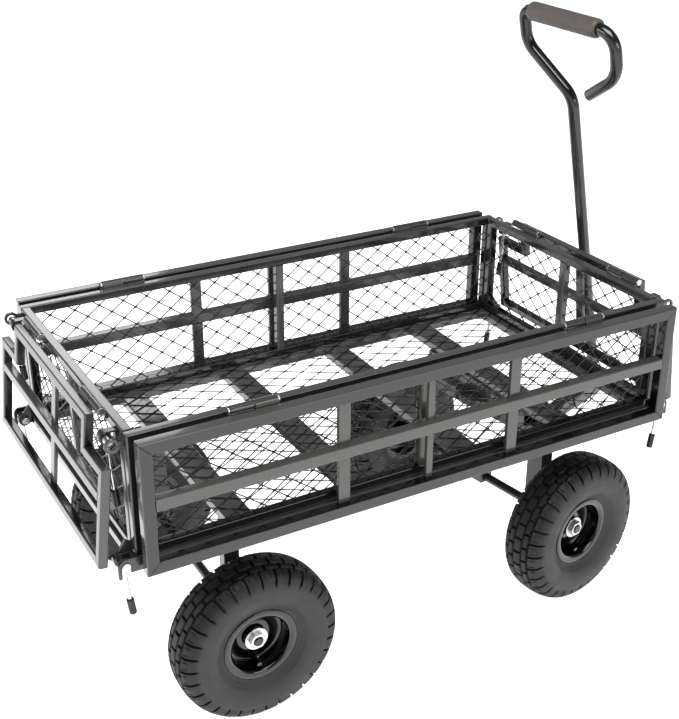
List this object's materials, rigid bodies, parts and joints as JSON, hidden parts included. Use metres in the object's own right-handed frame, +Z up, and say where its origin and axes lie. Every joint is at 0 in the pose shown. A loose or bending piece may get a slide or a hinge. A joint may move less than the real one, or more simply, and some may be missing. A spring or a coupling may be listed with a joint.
{
  "type": "garden cart",
  "caption": "Steel mesh garden cart with swing-up outer racks, fold-down ends, slide-bolt latches, a steered front axle and a loop pull handle.",
  "frame": {"origin": "on the ground under the middle of the cargo bed, half way between its ends and its sides", "axes": "+X to the front (handle end) along the bed, +Y to the cart's left side (the far side), +Z up"},
  "size_m": [1.1547, 0.5696, 0.9823],
  "materials": {
    "black_coat": "glossy",
    "black_mesh": "glossy",
    "black_rim": "satin",
    "zinc": "satin",
    "tyre_rubber": "matte",
    "lever_rubber": "satin",
    "foam": "matte"
  },
  "bodies": {
    "chassis": {"deck_frame": "black_coat", "cross_members": "black_coat", "floor_mesh": "black_mesh", "near_panel_frame": "black_coat", "near_panel_mesh": "black_mesh", "far_panel_frame": "black_coat", "far_panel_mesh": "black_mesh", "side_hinge_pins": "zinc", "corner_hooks": "black_coat", "bolt_guides": "black_coat", "rear_supports": "black_coat", "rear_axle_seats": "black_coat", "rear_axle": "black_coat", "rear_axle_nuts": "zinc", "front_bolster": "black_coat", "kingpin": "zinc"},
    "near_rack": {"near_rack": "black_coat"},
    "far_rack": {"far_rack": "black_coat"},
    "rear_gate": {"rear_gate_frame": "black_coat", "rear_gate_mesh": "black_mesh", "rear_gate_hinge_pins": "zinc", "rear_gate_latch_straps": "black_coat"},
    "rear_gate_rack": {"rear_gate_rack": "black_coat"},
    "rear_near_upper_latch": {"rear_near_upper_bolt": "zinc", "rear_near_upper_bolt_grip": "lever_rubber"},
    "rear_near_lower_latch": {"rear_near_lower_bolt": "zinc", "rear_near_lower_bolt_grip": "lever_rubber"},
    "rear_far_upper_latch": {"rear_far_upper_bolt": "zinc", "rear_far_upper_bolt_grip": "lever_rubber"},
    "rear_far_lower_latch": {"rear_far_lower_bolt": "zinc", "rear_far_lower_bolt_grip": "lever_rubber"},
    "front_gate": {"front_gate_frame": "black_coat", "front_gate_mesh": "black_mesh", "front_gate_hinge_pins": "zinc", "front_gate_latch_straps": "black_coat"},
    "front_gate_rack": {"front_gate_rack": "black_coat"},
    "front_near_upper_latch": {"front_near_upper_bolt": "zinc", "front_near_upper_bolt_grip": "lever_rubber"},
    "front_near_lower_latch": {"front_near_lower_bolt": "zinc", "front_near_lower_bolt_grip": "lever_rubber"},
    "front_far_upper_latch": {"front_far_upper_bolt": "zinc", "front_far_upper_bolt_grip": "lever_rubber"},
    "front_far_lower_latch": {"front_far_lower_bolt": "zinc", "front_far_lower_bolt_grip": "lever_rubber"},
    "steering": {"front_fork": "black_coat", "front_axle": "black_coat", "front_axle_nuts": "zinc", "drawbar": "black_coat", "handle_pin": "zinc"},
    "handle": {"handle_tube": "black_coat", "foam_grip": "foam"},
    "rear_near_wheel": {"rear_near_tyre": "tyre_rubber", "rear_near_rim": "black_rim"},
    "rear_far_wheel": {"rear_far_tyre": "tyre_rubber", "rear_far_rim": "black_rim"},
    "front_near_wheel": {"front_near_tyre": "tyre_rubber", "front_near_rim": "black_rim"},
    "front_far_wheel": {"front_far_tyre": "tyre_rubber", "front_far_rim": "black_rim"}
  },
  "joints": [
    {"name": "near_rack_swing", "type": "hinge", "parent": "chassis", "child": "near_rack", "pos_m": [0, -0.257, 0.549], "axis": [-1, 0, 0], "range_deg": [0, 180]},
    {"name": "far_rack_swing", "type": "hinge", "parent": "chassis", "child": "far_rack", "pos_m": [0, 0.257, 0.549], "axis": [1, 0, 0], "range_deg": [0, 180]},
    {"name": "rear_gate_fold", "type": "hinge", "parent": "chassis", "child": "rear_gate", "pos_m": [-0.49, 0, 0.346], "axis": [0, -1, 0], "range_deg": [0, 90]},
    {"name": "rear_rack_swing", "type": "hinge", "parent": "rear_gate", "child": "rear_gate_rack", "pos_m": [-0.4805, 0, 0.549], "axis": [0, 1, 0], "range_deg": [0, 173.5]},
    {"name": "rear_near_upper_latch_slide", "type": "slide", "parent": "rear_gate", "child": "rear_near_upper_latch", "axis": [0, -1, 0], "range_m": [0, 0.012]},
    {"name": "rear_near_lower_latch_slide", "type": "slide", "parent": "chassis", "child": "rear_near_lower_latch", "axis": [0, -1, 0], "range_m": [0, 0.012], "stiffness_N_per_m": 200},
    {"name": "rear_far_upper_latch_slide", "type": "slide", "parent": "rear_gate", "child": "rear_far_upper_latch", "axis": [0, 1, 0], "range_m": [0, 0.012]},
    {"name": "rear_far_lower_latch_slide", "type": "slide", "parent": "chassis", "child": "rear_far_lower_latch", "axis": [0, 1, 0], "range_m": [0, 0.012], "stiffness_N_per_m": 200},
    {"name": "front_gate_fold", "type": "hinge", "parent": "chassis", "child": "front_gate", "pos_m": [0.49, 0, 0.346], "axis": [0, 1, 0], "range_deg": [0, 6]},
    {"name": "front_rack_swing", "type": "hinge", "parent": "front_gate", "child": "front_gate_rack", "pos_m": [0.4805, 0, 0.549], "axis": [0, -1, 0], "range_deg": [0, 12]},
    {"name": "front_near_upper_latch_slide", "type": "slide", "parent": "front_gate", "child": "front_near_upper_latch", "axis": [0, -1, 0], "range_m": [0, 0.012]},
    {"name": "front_near_lower_latch_slide", "type": "slide", "parent": "chassis", "child": "front_near_lower_latch", "axis": [0, -1, 0], "range_m": [0, 0.012], "stiffness_N_per_m": 200},
    {"name": "front_far_upper_latch_slide", "type": "slide", "parent": "front_gate", "child": "front_far_upper_latch", "axis": [0, 1, 0], "range_m": [0, 0.012]},
    {"name": "front_far_lower_latch_slide", "type": "slide", "parent": "chassis", "child": "front_far_lower_latch", "axis": [0, 1, 0], "range_m": [0, 0.012], "stiffness_N_per_m": 200},
    {"name": "steer", "type": "hinge", "parent": "chassis", "child": "steering", "pos_m": [0.295, 0, 0.134], "axis": [0, 0, 1], "range_deg": [-35, 17]},
    {"name": "handle_fold", "type": "hinge", "parent": "steering", "child": "handle", "pos_m": [0.61444, 0.05174, 0.225], "axis": [-0.1599, 0.9871, 0], "range_deg": [0, 110]},
    {"name": "rear_near_wheel_spin", "type": "hinge", "parent": "chassis", "child": "rear_near_wheel", "pos_m": [-0.29, -0.23, 0.134], "axis": [0, 1, 0], "continuous": true},
    {"name": "rear_far_wheel_spin", "type": "hinge", "parent": "chassis", "child": "rear_far_wheel", "pos_m": [-0.29, 0.23, 0.134], "axis": [0, 1, 0], "continuous": true},
    {"name": "front_near_wheel_spin", "type": "hinge", "parent": "steering", "child": "front_near_wheel", "pos_m": [0.33177, -0.22704, 0.134], "axis": [-0.1599, 0.9871, 0], "continuous": true},
    {"name": "front_far_wheel_spin", "type": "hinge", "parent": "steering", "child": "front_far_wheel", "pos_m": [0.25823, 0.22704, 0.134], "axis": [-0.1599, 0.9871, 0], "continuous": true}
  ]
}
